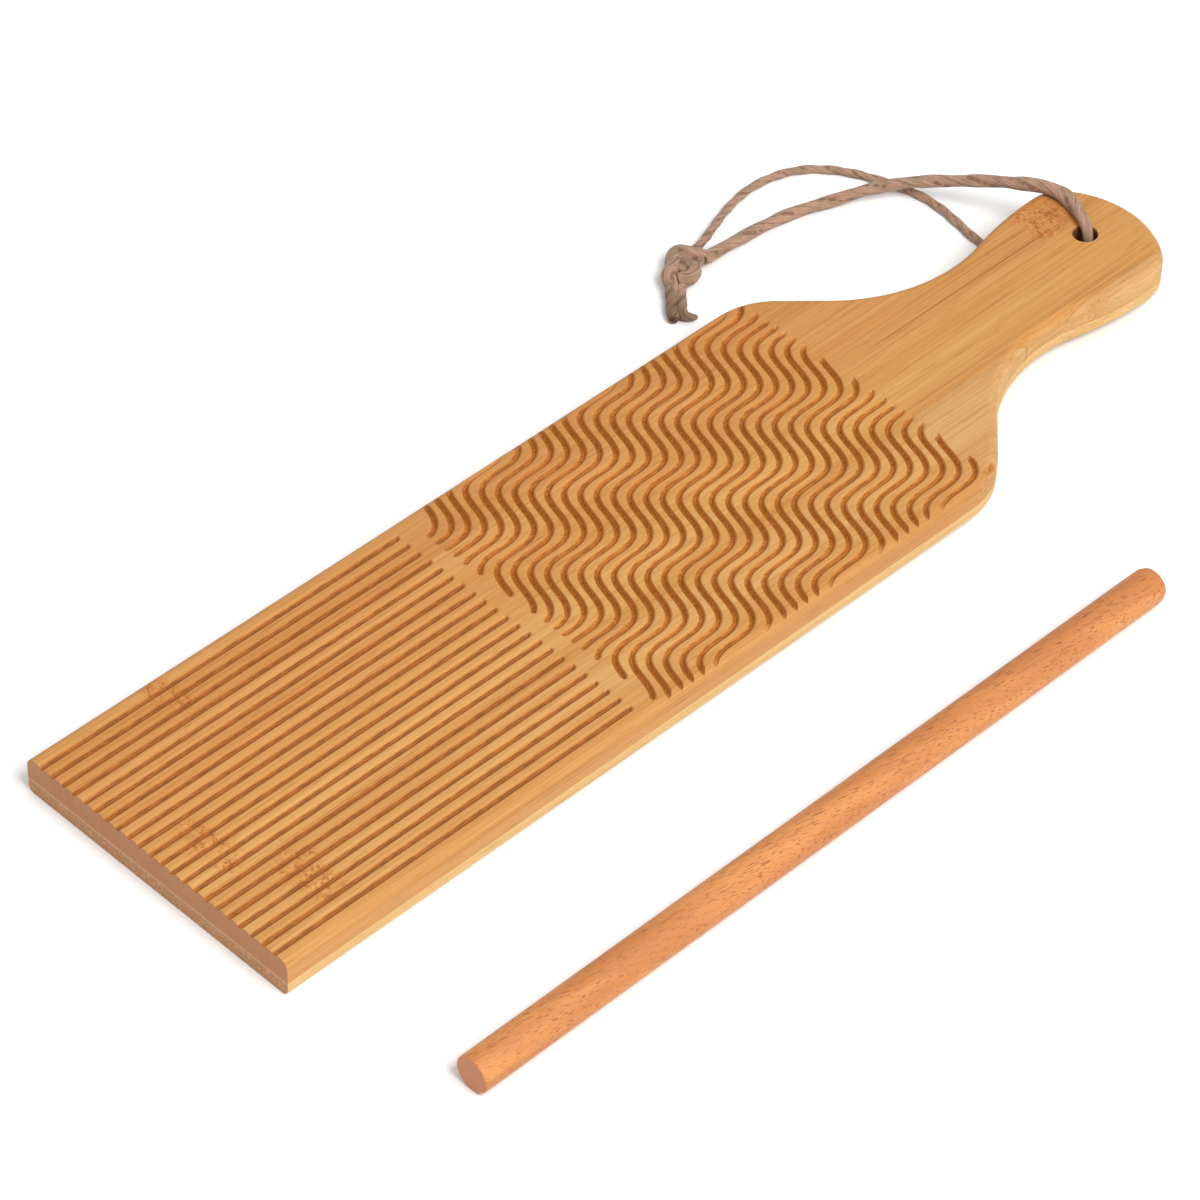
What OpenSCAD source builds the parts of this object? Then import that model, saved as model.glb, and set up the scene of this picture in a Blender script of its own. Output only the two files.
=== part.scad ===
// Gnocchi board: a laminated bamboo paddle with straight and wavy grooves,
// a hanging loop of twine through its handle, and a loose rolling dowel beside it.
// Board coordinates: X from the front end to the handle, Y across, Z up from the underside.

/* [Board] */
// Length of the board, front end to handle tip
board_l = 300; // [296:1:304]
// Width of the grooved body
board_w = 80; // [78:1:82]
// Thickness of the two plies together
board_t = 10; // [9.5:0.5:11]
// Thickness of the lower ply
lower_ply_t = 4; // [3.5:0.5:4.5]
// Radius worked on the upper edge
top_round = 2.5; // [1.5:0.5:3]
// Radius worked on the lower edge
low_round = 2; // [1:0.5:2.5]

/* [Handle] */
// Radius of the shoulders
shoulder_r = 20; // [18:1:22]
// Angle of the straight run below the shoulders
slope = 43; // [41:1:45]
// Distance from the front end to the narrowest place
neck_x = 255; // [254:1:256]
// Width at the narrowest place
neck_w = 29.3; // [28:0.1:31]
// Radius of the neck
neck_r = 42; // [40:1:44]
// Distance from the tip back to the widest place of the grip
grip_back = 13; // [12:0.5:13.5]
// Width at the widest place of the grip
grip_w = 37.2; // [36:0.1:38]
// Radius of the two corners of the tip
tip_r = 10; // [9:0.5:10.5]
// How far the handle's centreline sits off the body's
handle_off = 0.5; // [0:0.1:1]
// Distance from the tip back to the hanging hole
hole_back = 14.7; // [14:0.1:16]
// Diameter of the hanging hole
hole_d = 6; // [5.8:0.1:6.5]

/* [Straight grooves] */
// Number of straight grooves
groove_count = 22; // [18:2:22]
// Distance between straight grooves
groove_pitch = 3.4; // [3.2:0.1:3.4]
// Width of every groove at the surface
groove_w = 1.8; // [1.4:0.1:2]
// Depth of every groove
groove_depth = 0.9; // [0.6:0.1:1.1]
// Distance from the front end to where the straight grooves stop
groove_end_x = 101; // [95:1:102]

/* [Wavy grooves] */
// Where the wavy grooves start
wave_start_x = 106; // [105:1:112]
// Where the wavy grooves stop
wave_end_x = 209.5; // [200:0.5:210]
// Direction of the waves across the board
wave_angle = 37.5; // [36:0.5:39]
// Length of one wave along that direction
wave_length = 25.25; // [24:0.25:27]
// Height of a wave from crest to trough
wave_rise = 6.1; // [5:0.1:6.5]
// Distance between neighbouring waves
wave_pitch = 3.57; // [3.5:0.01:3.7]
// How far each wave is slid along its neighbour
wave_slide = 0.338; // [0.3:0.002:0.4]

/* [Dowel] */
// Diameter of the dowel
dowel_d = 8.7; // [8:0.1:10]
// Length of the dowel
dowel_l = 205; // [200:1:210]

/* [Hanging cord] */
// Diameter of the twine where it is pressed by the board
twine_d = 2.1; // [2:0.05:2.2]
// Diameter of the looser strand from the hole to the knot
loose_twine_d = 3.1; // [2.6:0.1:3.2]

/* [Hidden] */

// Glue lines between the strips, across the board
top_seams = [-34.7, -14.7, 5.3, 25.3];
low_seams = [-20, 0, 20];

// The handle lies on the twine, which lifts it a little off the table
cord_gap = 0.05;
lift_x = 273;
tilt = atan((twine_d + cord_gap) / lift_x);

// Outline of one side as arcs: centre, radius, start angle, end angle and number of steps.
// The shoulder is placed so that its arc, the straight run and the neck flow into each other.
grip_x = board_l - grip_back;
flare = 2 * atan((grip_w - neck_w) / 2 / (grip_x - neck_x));
grip_r = (grip_x - neck_x) / sin(flare) - neck_r;
grip_h = grip_w / 2 - tip_r;
end_r = (grip_back * grip_back + grip_h * grip_h - tip_r * tip_r) / (2 * (grip_back - tip_r));
end_x = board_l - end_r;
corner_a = atan2(grip_h, grip_x - end_x);
function shoulder_x(half_w) =
  neck_x - (shoulder_r + neck_r - (neck_w / 2 + neck_r - half_w + shoulder_r) * cos(slope)) / sin(slope);
function side_arcs(half_w) = [
  [[shoulder_x(half_w), half_w - shoulder_r], shoulder_r, 90, 90 - slope, 5],
  [[neck_x, neck_w / 2 + neck_r], neck_r, 270 - slope, 270 + flare, 8],
  [[grip_x, grip_w / 2 - grip_r], grip_r, 90 + flare, 90, 2],
  [[grip_x, grip_h], tip_r, 90, corner_a, 7],
  [[end_x, 0], end_r, corner_a, 0, 3]
];

// A station of the outline is its point and its outward direction
function arc_station(arc, k) =
  let(a = arc[2] + (arc[3] - arc[2]) * k / arc[4], out = arc[3] > arc[2] ? -1 : 1)
  [arc[0][0] + arc[1] * cos(a), arc[0][1] + arc[1] * sin(a), out * cos(a), out * sin(a)];
function side(half_w) =
  let(arcs = side_arcs(half_w))
  concat([[-1, half_w, 0, 1]],
    [for (j = [0 : len(arcs) - 1]) for (k = [(j < 2 ? 0 : 1) : arcs[j][4]]) arc_station(arcs[j], k)]);
far_side = [for (s = side(board_w / 2 - handle_off)) [s[0], s[1] + handle_off, s[2], s[3]]];
near_side = [for (s = side(board_w / 2 + handle_off)) [s[0], handle_off - s[1], s[2], -s[3]]];
side_n = len(far_side);
ring = concat(far_side, [for (k = [side_n - 2 : -1 : 0]) near_side[k]]);
ring_n = len(ring);

// Height and inset of the outline through each ply, with its rounded edge
top_levels = concat([[lower_ply_t, 0]],
  [for (a = [0, 30, 60, 90]) [board_t - top_round * (1 - sin(a)), top_round * (1 - cos(a))]]);
low_levels = concat(
  [for (a = [90, 60, 30, 0]) [low_round * (1 - sin(a)), low_round * (1 - cos(a))]],
  [[lower_ply_t, 0]]);

// The whole ply: the outline at each level, closed by faces that run straight across
module ply(levels) {
  m = len(levels);
  top = (m - 1) * ring_n;
  polyhedron(
    points = [for (l = levels) for (s = ring) [s[0] - l[1] * s[2], s[1] - l[1] * s[3], l[0]]],
    faces = concat(
      [for (k = [0 : side_n - 2]) let(f = k, n = ring_n - 1 - k)
        each k == side_n - 2 ? [[n, f + 1, f]] : [[n, f + 1, f], [n, n - 1, f + 1]]],
      [for (i = [0 : m - 2]) for (k = [0 : ring_n - 1])
        let(a = i * ring_n + k, b = i * ring_n + (k + 1) % ring_n)
        each [[a, b, b + ring_n], [a, b + ring_n, a + ring_n]]],
      [for (k = [0 : side_n - 2]) let(f = top + k, n = top + ring_n - 1 - k)
        each k == side_n - 2 ? [[f, f + 1, n]] : [[f, f + 1, n], [f + 1, n - 1, n]]]),
    convexity = 6);
}

// A solid swept through a list of sections, all with the same number of points
module sweep(sections) {
  n = len(sections[0]);
  m = len(sections);
  polyhedron(
    points = [for (s = sections) each s],
    faces = concat(
      [[for (k = [n - 1 : -1 : 0]) k]],
      [for (i = [0 : m - 2]) for (k = [0 : n - 1])
        let(a = i * n + k, b = i * n + (k + 1) % n) each [[a, b, b + n], [a, b + n, a + n]]],
      [[for (k = [0 : n - 1]) (m - 1) * n + k]]),
    convexity = 10);
}

// Section of a groove at a point, a quarter turn from its heading; part = 1 is the full depth
groove_over = 0.3;
function groove_section(x, y, heading, part) =
  let(half = groove_w / 2 * (part + groove_over / groove_depth), ex = -sin(heading), ey = cos(heading))
  [[x + ex * half, y + ey * half, board_t + groove_over],
   [x, y, board_t - groove_depth * part],
   [x - ex * half, y - ey * half, board_t + groove_over]];

// A groove runs out to a rounded end over half its width
function end_steps() = [[0.55, 0.8], [0.9, 0.3]];
function end_section(x, y, heading, way, step) =
  groove_section(x + way * step[0] * cos(heading), y + way * step[0] * sin(heading), heading, step[1]);

module straight_groove(y) {
  sweep(concat(
    [groove_section(-1, y, 0, 1), groove_section(groove_end_x, y, 0, 1)],
    [for (e = end_steps()) end_section(groove_end_x, y, 0, 1, e)]));
}

// A wavy groove is a sine along the wave direction; s is the distance along that direction
wave_first = -1;
wave_last = 31;
wave_offset = -41.07;
wave_phase = 11.74;
function wave_v(i, s) =
  wave_offset - wave_pitch * i
  + wave_rise / 2 * sin(360 * (s - wave_phase - wave_slide * i) / wave_length);
function wave_x(i, s) = s * cos(wave_angle) - wave_v(i, s) * sin(wave_angle);
function wave_y(i, s) = s * sin(wave_angle) + wave_v(i, s) * cos(wave_angle);
function wave_heading(i, s) =
  wave_angle + atan(PI * wave_rise / wave_length
    * cos(360 * (s - wave_phase - wave_slide * i) / wave_length));
// The distance s at which a wave reaches a given X, or a given Y, found by halving
function s_at_x(i, x, lo = 0, hi = 300, n = 22) =
  n == 0 ? (lo + hi) / 2
  : wave_x(i, (lo + hi) / 2) < x ? s_at_x(i, x, (lo + hi) / 2, hi, n - 1)
  : s_at_x(i, x, lo, (lo + hi) / 2, n - 1);
function s_at_y(i, y, lo = 0, hi = 300, n = 22) =
  n == 0 ? (lo + hi) / 2
  : wave_y(i, (lo + hi) / 2) < y ? s_at_y(i, y, (lo + hi) / 2, hi, n - 1)
  : s_at_y(i, y, lo, (lo + hi) / 2, n - 1);

// The stretch of wave i that a strip between y0 and y1 meets
wave_step = 2.5;
strip_over = 1.5;
module wave_groove(i, y0, y1) {
  in_s = s_at_x(i, wave_start_x);
  out_s = s_at_x(i, wave_end_x);
  from_s = s_at_y(i, y0 - strip_over);
  to_s = s_at_y(i, y1 + strip_over);
  a = max(in_s, from_s);
  b = min(out_s, to_s);
  steps = ceil((b - a) / wave_step);
  if (b - a > 1)
    sweep(concat(
      in_s > from_s ? [for (k = [1, 0])
        end_section(wave_x(i, a), wave_y(i, a), wave_heading(i, a), -1, end_steps()[k])] : [],
      [for (k = [0 : steps]) let(s = a + (b - a) * k / steps)
        groove_section(wave_x(i, s), wave_y(i, s), wave_heading(i, s), 1)],
      out_s < to_s ? [for (e = end_steps())
        end_section(wave_x(i, b), wave_y(i, b), wave_heading(i, b), 1, e)] : []));
}

// The straight grooves sit a little nearer to the near side
groove_shift = 0.3;
module grooves(y0, y1) {
  for (k = [0 : groove_count - 1]) {
    y = (k - (groove_count - 1) / 2) * groove_pitch - groove_shift;
    if (y > y0 - groove_w && y < y1 + groove_w) straight_groove(y);
  }
  for (i = [wave_first : wave_last]) wave_groove(i, y0, y1);
}

// Places board coordinates on the table, with the origin under the middle of board and dowel
dowel_y = -83;
dowel_x = 9.6;
dowel_turn = 0.28;
origin_x = (board_l * cos(tilt) - (board_t + low_round) * sin(tilt)) / 2;
origin_y = (board_w / 2 + dowel_y - dowel_d / 2) / 2;
module on_table() {
  translate([-origin_x, -origin_y, 0]) children();
}
module on_board() {
  on_table() rotate([0, -tilt, 0]) children();
}

module slab(levels, y0, y1, x0, x1) {
  intersection() {
    ply(levels);
    translate([x0, y0, -1]) cube([x1 - x0, y1 - y0, board_t + 2]);
  }
}

hole_y = 1.2;
module hanging_hole() {
  translate([board_l - hole_back, hole_y, -1]) cylinder(h = board_t + 2, d = hole_d, $fn = 48);
}

// Past the handle's tip, for the strips that run to the end
past_tip = board_l + 10;

module top_strip(y0, y1, x0 = 0, x1 = past_tip) {
  on_board() difference() {
    slab(top_levels, y0, y1, x0, x1);
    if (x0 == 0) grooves(y0, y1);
    if (y0 < hole_y && y1 > hole_y) hanging_hole();
  }
}

module bottom_strip(y0, y1) {
  on_board() difference() {
    slab(low_levels, y0, y1, 0, past_tip);
    if (y0 <= 0 && y1 >= 0) hanging_hole();
  }
}

module top_strip_far() color("#dca25c") top_strip(top_seams[3], board_w / 2 + 1);
module top_strip_far_mid() color("#d79a55") top_strip(top_seams[2], top_seams[3]);
module top_strip_centre() color("#dfab69") top_strip(top_seams[1], top_seams[2]);
module top_strip_near_mid() color("#e0a961") top_strip(top_seams[0], top_seams[1], 0, neck_x);
module top_strip_near() color("#e3b06c") top_strip(-board_w / 2 - 1, top_seams[0]);
module top_strip_handle_edge() color("#e6b672") top_strip(top_seams[0], top_seams[1], neck_x, past_tip);
module bottom_strip_far() color("#e2b87c") bottom_strip(low_seams[2], board_w / 2 + 1);
module bottom_strip_far_mid() color("#dfb276") bottom_strip(low_seams[1], low_seams[2]);
module bottom_strip_near_mid() color("#e4bc83") bottom_strip(low_seams[0], low_seams[1]);
module bottom_strip_near() color("#e7c28c") bottom_strip(-board_w / 2 - 1, low_seams[0]);

// The dowel has a plainly sawn near end and a rounder far end
sawn_round = 0.5;
far_round = 1.5;
module dowel() {
  r = dowel_d / 2;
  color("#d9924f") on_table() translate([dowel_x, dowel_y, r]) rotate([0, 0, dowel_turn])
    rotate([0, 90, 0]) rotate_extrude($fn = 64) union() {
      translate([0, sawn_round]) square([r, dowel_l - sawn_round - far_round]);
      square([r - sawn_round, dowel_l]);
      translate([r - sawn_round, sawn_round]) circle(sawn_round, $fn = 32);
      translate([r - far_round, dowel_l - far_round]) circle(far_round, $fn = 32);
    }
}

// Route of the twine on the table, in board coordinates without the tilt
in_hole = [285.8, 0.5, 7.2];
under_route = [
  in_hole, [285.8, 0.5, 5.5], [285.6, 0.9, 3.2], [285, 2, 1.4], [283.7, 4, 1.05], [281, 7.6, 1.05],
  [278.7, 10.6, 1.05], [276.8, 13.5, 1.05], [275.8, 17, 1.05], [275.8, 20.5, 1.05]
];
far_route = [
  [275.8, 20.5, 1.05], [275.8, 25.5, 1.05], [276.9, 31.5, 1.05], [278, 38, 1.05],
  [278.1, 44.5, 1.05], [276.9, 50.5, 1.05], [275, 56, 1.05], [272.7, 61.3, 1.05],
  [269.4, 66.4, 1.05], [264.7, 70.8, 1.05], [258.3, 73.6, 1.05], [250, 74.4, 1.1],
  [241, 72.6, 1.3], [233, 69.6, 1.8], [227, 67.3, 2.2], [222.6, 66.3, 2.4]
];
near_route = [
  in_hole, [285.8, 0.5, 9.2], [286, 1, 11.4], [286.6, 2.3, 13.3], [287.8, 5, 13.9],
  [289.6, 9.2, 14], [290.3, 13.3, 14], [289.4, 17.2, 14], [287.8, 21, 13.5], [286.4, 25, 12.4],
  [284.2, 31.3, 10.4], [281.3, 38, 8], [277.6, 44.5, 6], [273.3, 49.4, 4.6], [268, 53.6, 3.3],
  [262.3, 56.8, 2], [256.5, 59.2, 1.6], [249.5, 61.2, 1.55], [242, 62.3, 1.55], [235, 62.7, 1.7],
  [228.5, 62.7, 2.1], [222.6, 62.6, 2.6]
];
tail_route = [
  [215.5, 62, 2.4], [211.4, 59, 1.9], [208.4, 56.4, 1.6], [206, 53.7, 1.6], [204.8, 51.2, 1.6]
];

// A round tube along a smooth curve through a route, with a ring every few diameters
cord_sides = 8;
function unit(v) = v / norm(v);
function ring_at(c, d, r) =
  let(flat_side = abs(d[2]) > 0.97 ? [0, 1, 0] : [0, 0, 1], e = unit(cross(flat_side, d)), u = cross(d, e))
  [for (k = [0 : cord_sides - 1]) let(a = 360 * (k + 0.5) / cord_sides)
    c + r / cos(180 / cord_sides) * (cos(a) * e - sin(a) * u)];
function cord_rings(route, r0, r1) =
  let(n = len(route) - 1)
  [for (k = [0 : n])
    let(d = k == 0 ? route[1] - route[0] : k == n ? route[n] - route[n - 1] : route[k + 1] - route[k - 1])
    ring_at(route[k], unit(d), r0 + (r1 - r0) * min(1, k / 8))];

module cord_under_handle() color("#8f8377") on_table()
  sweep(cord_rings(under_route, twine_d / 2, twine_d / 2));
module cord_far_strand() color("#8f8377") on_table()
  sweep(cord_rings(far_route, twine_d / 2, twine_d / 2));
module cord_near_strand() color("#978a7c") on_table()
  sweep(cord_rings(near_route, twine_d / 2, loose_twine_d / 2));
module cord_tails() color("#978a7c") on_table()
  sweep(cord_rings(tail_route, loose_twine_d / 2, loose_twine_d / 2));

// The overhand knot as one low bun that both strands and the tails run into
knot_at = [218.5, 64.5];
knot_r = 5.4;
knot_h = 5.6;
module cord_knot() color("#857a6e") on_table() translate([knot_at[0], knot_at[1], 0])
  rotate_extrude($fn = 48) intersection() {
    translate([0, knot_h / 2]) scale([knot_r / knot_h * 2, 1]) circle(knot_h / 2, $fn = 48);
    square([knot_r, knot_h]);
  }

top_strip_far();
top_strip_far_mid();
top_strip_centre();
top_strip_near_mid();
top_strip_near();
top_strip_handle_edge();
bottom_strip_far();
bottom_strip_far_mid();
bottom_strip_near_mid();
bottom_strip_near();
dowel();
cord_under_handle();
cord_far_strand();
cord_near_strand();
cord_knot();
cord_tails();
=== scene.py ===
"""Looks of a laminated bamboo gnocchi board with its loose dowel and its loop of twine.

Lengths are in millimetres of board coordinates, as in the part's source: X from the front end to the
handle, Y across, Z up from the underside. Meshes are written in metres.
"""

import math

import bmesh
import bpy
import numpy as np
from mathutils import Matrix, Vector


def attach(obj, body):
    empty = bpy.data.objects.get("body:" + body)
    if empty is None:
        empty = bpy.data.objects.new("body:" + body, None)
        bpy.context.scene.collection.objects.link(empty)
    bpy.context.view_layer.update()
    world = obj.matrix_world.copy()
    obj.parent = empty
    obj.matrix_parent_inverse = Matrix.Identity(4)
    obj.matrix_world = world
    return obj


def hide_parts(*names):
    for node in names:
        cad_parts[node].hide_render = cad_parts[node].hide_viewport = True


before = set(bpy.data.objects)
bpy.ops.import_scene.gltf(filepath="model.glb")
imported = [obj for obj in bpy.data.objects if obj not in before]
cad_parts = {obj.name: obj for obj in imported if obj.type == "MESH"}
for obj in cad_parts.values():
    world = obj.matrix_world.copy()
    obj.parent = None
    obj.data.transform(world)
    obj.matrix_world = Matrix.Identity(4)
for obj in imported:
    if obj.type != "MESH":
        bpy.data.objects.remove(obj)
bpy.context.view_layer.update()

MM = 0.001

# Board, as in the part's source
BOARD_L = 300.0
BOARD_W = 80.0
BOARD_T = 10.0
PLY_T = 4.0
TOP_ROUND = 2.5
LOW_ROUND = 2.0
TOP_SEAMS = (-34.7, -14.7, 5.3, 25.3)
LOW_SEAMS = (-20.0, 0.0, 20.0)
PAST = 10.0

# Handle
SHOULDER_R = 20.0
SLOPE = math.radians(43.0)
NECK_X = 255.0
NECK_W = 29.3
NECK_R = 42.0
GRIP_BACK = 13.0
GRIP_W = 37.2
TIP_R = 10.0
HANDLE_OFF = 0.5
HOLE_X = BOARD_L - 14.7
HOLE_Y = 1.2
HOLE_R = 3.0
HOLE_LIP = 0.15

# Grooves
GROOVE_COUNT = 22
GROOVE_PITCH = 3.4
GROOVE_DEPTH = 0.9
GROOVE_SHIFT = 0.3
GROOVE_END_X = 100.2
WAVE_START_X = 106.2
WAVE_END_X = 209.4
WAVE_ANGLE = math.radians(37.5)
WAVE_LENGTH = 25.25
WAVE_RISE = 6.1
WAVE_PITCH = 3.57
WAVE_SLIDE = 0.338
WAVE_FIRST = -1
WAVE_LAST = 31
WAVE_OFFSET = -41.07
WAVE_PHASE = 11.74
GROOVED_HALF_W = 38.1
BAND_X = 103.5
HANDLE_FROM_X = 212.0

# Dowel
DOWEL_D = 8.7
DOWEL_Y = -83.0

# Twine
TWINE_D = 2.1
CORD_GAP = 0.05
LIFT_X = 273.0

# The board is tipped about its front edge, because the handle lies on the twine
TILT = math.atan((TWINE_D + CORD_GAP) / LIFT_X)
ORIGIN_X = (BOARD_L * math.cos(TILT) - (BOARD_T + LOW_ROUND) * math.sin(TILT)) / 2
ORIGIN_Y = (BOARD_W / 2 + DOWEL_Y - DOWEL_D / 2) / 2
ROW_FROM_TABLE = Matrix.Translation((-ORIGIN_X * MM, -ORIGIN_Y * MM, 0))
ROW_FROM_BOARD = ROW_FROM_TABLE @ Matrix.Rotation(-TILT, 4, "Y")


# Camera

CAMERA_AT = (-633.7, -566.86, 807.0)
CAMERA_TURN = (46.439, -1.412, -44.642)
CAMERA_LENS = 162.38
SENSOR = 36.0


def make_camera():
    data = bpy.data.cameras.new("camera")
    data.lens = CAMERA_LENS
    data.sensor_width = SENSOR
    data.clip_start = 0.05
    data.clip_end = 20
    cam = bpy.data.objects.new("camera", data)
    cam.location = [v * MM for v in CAMERA_AT]
    cam.rotation_euler = [math.radians(a) for a in CAMERA_TURN]
    bpy.context.scene.collection.objects.link(cam)
    bpy.context.scene.camera = cam


# Shader graphs


class Graph:
    """A material's node tree, with one short method for each kind of node."""

    def __init__(self, name):
        self.material = bpy.data.materials.new(name)
        self.material.use_nodes = True
        self.tree = self.material.node_tree
        self.tree.nodes.clear()
        self.out = self.tree.nodes.new("ShaderNodeOutputMaterial")

    def put(self, socket, value):
        if isinstance(value, bpy.types.NodeSocket):
            self.tree.links.new(value, socket)
        else:
            socket.default_value = value

    def node(self, kind, *values, **props):
        made = self.tree.nodes.new(kind)
        for key, value in props.items():
            setattr(made, key, value)
        for socket, value in zip(made.inputs, values):
            if value is not None:
                self.put(socket, value)
        return made

    def math(self, operation, a, b=0.0, c=0.0):
        return self.node("ShaderNodeMath", a, b, c, operation=operation).outputs[0]

    def times(self, first, *others):
        """Product of all the values."""
        for other in others:
            first = self.math("MULTIPLY", first, other)
        return first

    def plus(self, a, b):
        return self.math("ADD", a, b)

    def minus(self, a, b):
        return self.math("SUBTRACT", a, b)

    def apart(self, a, b):
        """How far apart two values are, never negative."""
        return self.math("ABSOLUTE", self.minus(a, b))

    def vector(self, operation, a, b):
        return self.node("ShaderNodeVectorMath", a, b, operation=operation).outputs[0]

    def ramp(self, value, low, high, to_low=0.0, to_high=1.0):
        """Runs smoothly from to_low at low to to_high at high, and stays there."""
        made = self.node("ShaderNodeMapRange", interpolation_type="SMOOTHSTEP")
        for key, v in zip(("Value", "From Min", "From Max", "To Min", "To Max"),
                          (value, low, high, to_low, to_high)):
            self.put(made.inputs[key], v)
        return made.outputs[0]

    def mix(self, factor, a, b, blend="MIX"):
        made = self.node("ShaderNodeMix", data_type="RGBA", blend_type=blend)
        self.put(made.inputs["Factor"], factor)
        for key, v in (("A", a), ("B", b)):
            socket = [s for s in made.inputs if s.name == key and s.type == "RGBA"][0]
            self.put(socket, v if isinstance(v, bpy.types.NodeSocket) else (*v, 1.0))
        return [s for s in made.outputs if s.type == "RGBA"][0]

    def noise(self, at, detail=2.0, rough=0.5, distort=0.0):
        made = self.node("ShaderNodeTexNoise", noise_dimensions="3D")
        self.put(made.inputs["Vector"], at)
        self.put(made.inputs["Scale"], 1.0)
        self.put(made.inputs["Detail"], detail)
        self.put(made.inputs["Roughness"], rough)
        self.put(made.inputs["Distortion"], distort)
        return made.outputs["Fac"]

    def split(self, vector):
        return self.node("ShaderNodeSeparateXYZ", vector).outputs

    def surface(self, color, roughness, height, bump_depth, **fixed):
        """Principled surface. fixed holds the sockets that are the same all over."""
        bump = self.node("ShaderNodeBump")
        self.put(bump.inputs["Strength"], 1.0)
        self.put(bump.inputs["Distance"], bump_depth * MM)
        self.put(bump.inputs["Height"], height)
        shader = self.node("ShaderNodeBsdfPrincipled")
        self.put(shader.inputs["Base Color"], color)
        self.put(shader.inputs["Roughness"], roughness)
        self.put(shader.inputs["Normal"], bump.outputs["Normal"])
        for key, value in fixed.items():
            self.put(shader.inputs[key.replace("_", " ")], value)
        self.tree.links.new(shader.outputs[0], self.out.inputs["Surface"])
        return self.material


def srgb(r, g, b):
    """Linear colour of a display colour given from 0 to 255."""
    return tuple((v / 255 / 12.92) if v / 255 <= 0.04045 else ((v / 255 + 0.055) / 1.055) ** 2.4
                 for v in (r, g, b))


def shade(color, share):
    """The same colour, darker or lighter by that share."""
    return tuple(share * c for c in color)


class Wood(Graph):
    """A graph that knows its place in the board: coordinates in millimetres, grain along X."""

    def __init__(self, name, seed):
        super().__init__(name)
        self.coords = self.node("ShaderNodeTexCoord")
        self.at = self.vector("MULTIPLY", self.coords.outputs["Object"], (1 / MM,) * 3)
        self.x, self.y, self.z = self.split(self.at)
        self.seed = seed
        self.draws = 0

    def grain(self, along, across, detail=2.0, rough=0.5, distort=0.0):
        """Noise of that many cycles a millimetre along and across the grain."""
        self.draws += 1
        shift = (self.seed * 13.7 + self.draws * 5.1, self.seed * 7.9 + self.draws * 3.3, self.seed * 3.1)
        scaled = self.vector("MULTIPLY", self.at, (along, across, across))
        return self.noise(self.vector("ADD", scaled, shift), detail, rough, distort)

    def patch(self, x, half_x, y, half_y):
        """1 inside a soft oval at x, y and 0 outside it."""
        sway = self.times(self.minus(self.grain(0.02, 0.12, 1.0), 0.5), 9.0)
        dx = self.math("DIVIDE", self.plus(self.minus(self.x, x), sway), half_x)
        dy = self.math("DIVIDE", self.minus(self.y, y), half_y)
        far = self.plus(self.times(dx, dx), self.times(dy, dy, dy, dy))
        return self.ramp(far, 1.3, 0.3)


BAMBOO_LIGHT = srgb(204, 153, 92)
BAMBOO_MID = srgb(191, 135, 73)
BAMBOO_DARK = srgb(166, 106, 46)
BAMBOO_LINE = srgb(134, 76, 30)
NODE_LIGHT = srgb(214, 160, 94)
NODE_WARM = srgb(186, 118, 56)
NODE_DARK = srgb(146, 80, 28)
WALL_BROWN = srgb(166, 99, 38)
BORE_BROWN_AND_SHADE = srgb(118, 72, 34)
FRONT_UPPER = srgb(178, 121, 80)
FRONT_LOWER = srgb(178, 126, 86)
FRONT_FLECK = srgb(214, 170, 122)
GROOVE_BROWN_AND_SHADE = srgb(166, 97, 30)
LINE_FADE = 12.0

# Factors on the colour: groove flanks, painted shade in the bottoms of the straight grooves, handle,
# painted light on the sides of the handle
GROOVE_GOLD = (1.0, 0.94, 0.76)
STRAIGHT_SHADE = (0.80, 0.72, 0.5)
PALE_AND_PAINTED_LIGHT = (0.99, 1.08, 1.30)
WALL_PAINTED_LIGHT = (1.05, 1.10, 1.08)


def clean_bamboo(g):
    """Colour of clean bamboo, with its tone and the noise of its fibres and streaks."""
    broad = g.grain(0.004, 0.10, 1.0)
    streak = g.grain(0.006, 0.75, 3.0, 0.6)
    fibre = g.grain(0.03, 4.5, 2.0, 0.6)
    fleck = g.grain(0.12, 2.6, 2.0, 0.7)
    tone = g.plus(g.plus(g.times(broad, 0.5), g.times(streak, 0.6)), g.times(fibre, 0.5))
    color = g.mix(g.ramp(tone, 0.55, 0.92), BAMBOO_LIGHT, BAMBOO_MID)
    color = g.mix(g.ramp(tone, 0.85, 1.20), color, BAMBOO_DARK)
    color = g.mix(g.times(g.ramp(fibre, 0.50, 0.66), 0.22), color, BAMBOO_DARK)
    thin = g.ramp(g.apart(g.grain(0.004, 1.1, 1.0), 0.5), 0.014, 0.003)
    thin = g.times(thin, g.ramp(g.grain(0.02, 0.3), 0.5, 0.65))
    color = g.mix(g.times(thin, 0.45), color, BAMBOO_LINE)
    color = g.mix(g.times(g.ramp(fleck, 0.57, 0.74), 0.40), color, BAMBOO_LINE)
    return color, tone, fibre, streak


def dark_lines(g, color, lines, fibre):
    """Dark fibres. Each has a Y, a half width, a strength and the X that it runs from and to."""
    for y, half, strength, x0, x1 in lines:
        wander = g.times(g.minus(g.grain(0.01, 0.02, 1.0), 0.5), 1.4)
        off = g.apart(g.plus(g.y, wander), y)
        here = g.times(g.ramp(off, half, half * 0.2), g.ramp(g.x, x0, x0 + LINE_FADE),
                       g.ramp(g.x, x1, x1 - LINE_FADE), g.ramp(fibre, 0.3, 0.6, 0.5, 1.0))
        color = g.mix(g.times(here, strength), color, BAMBOO_LINE)
    return color


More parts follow.
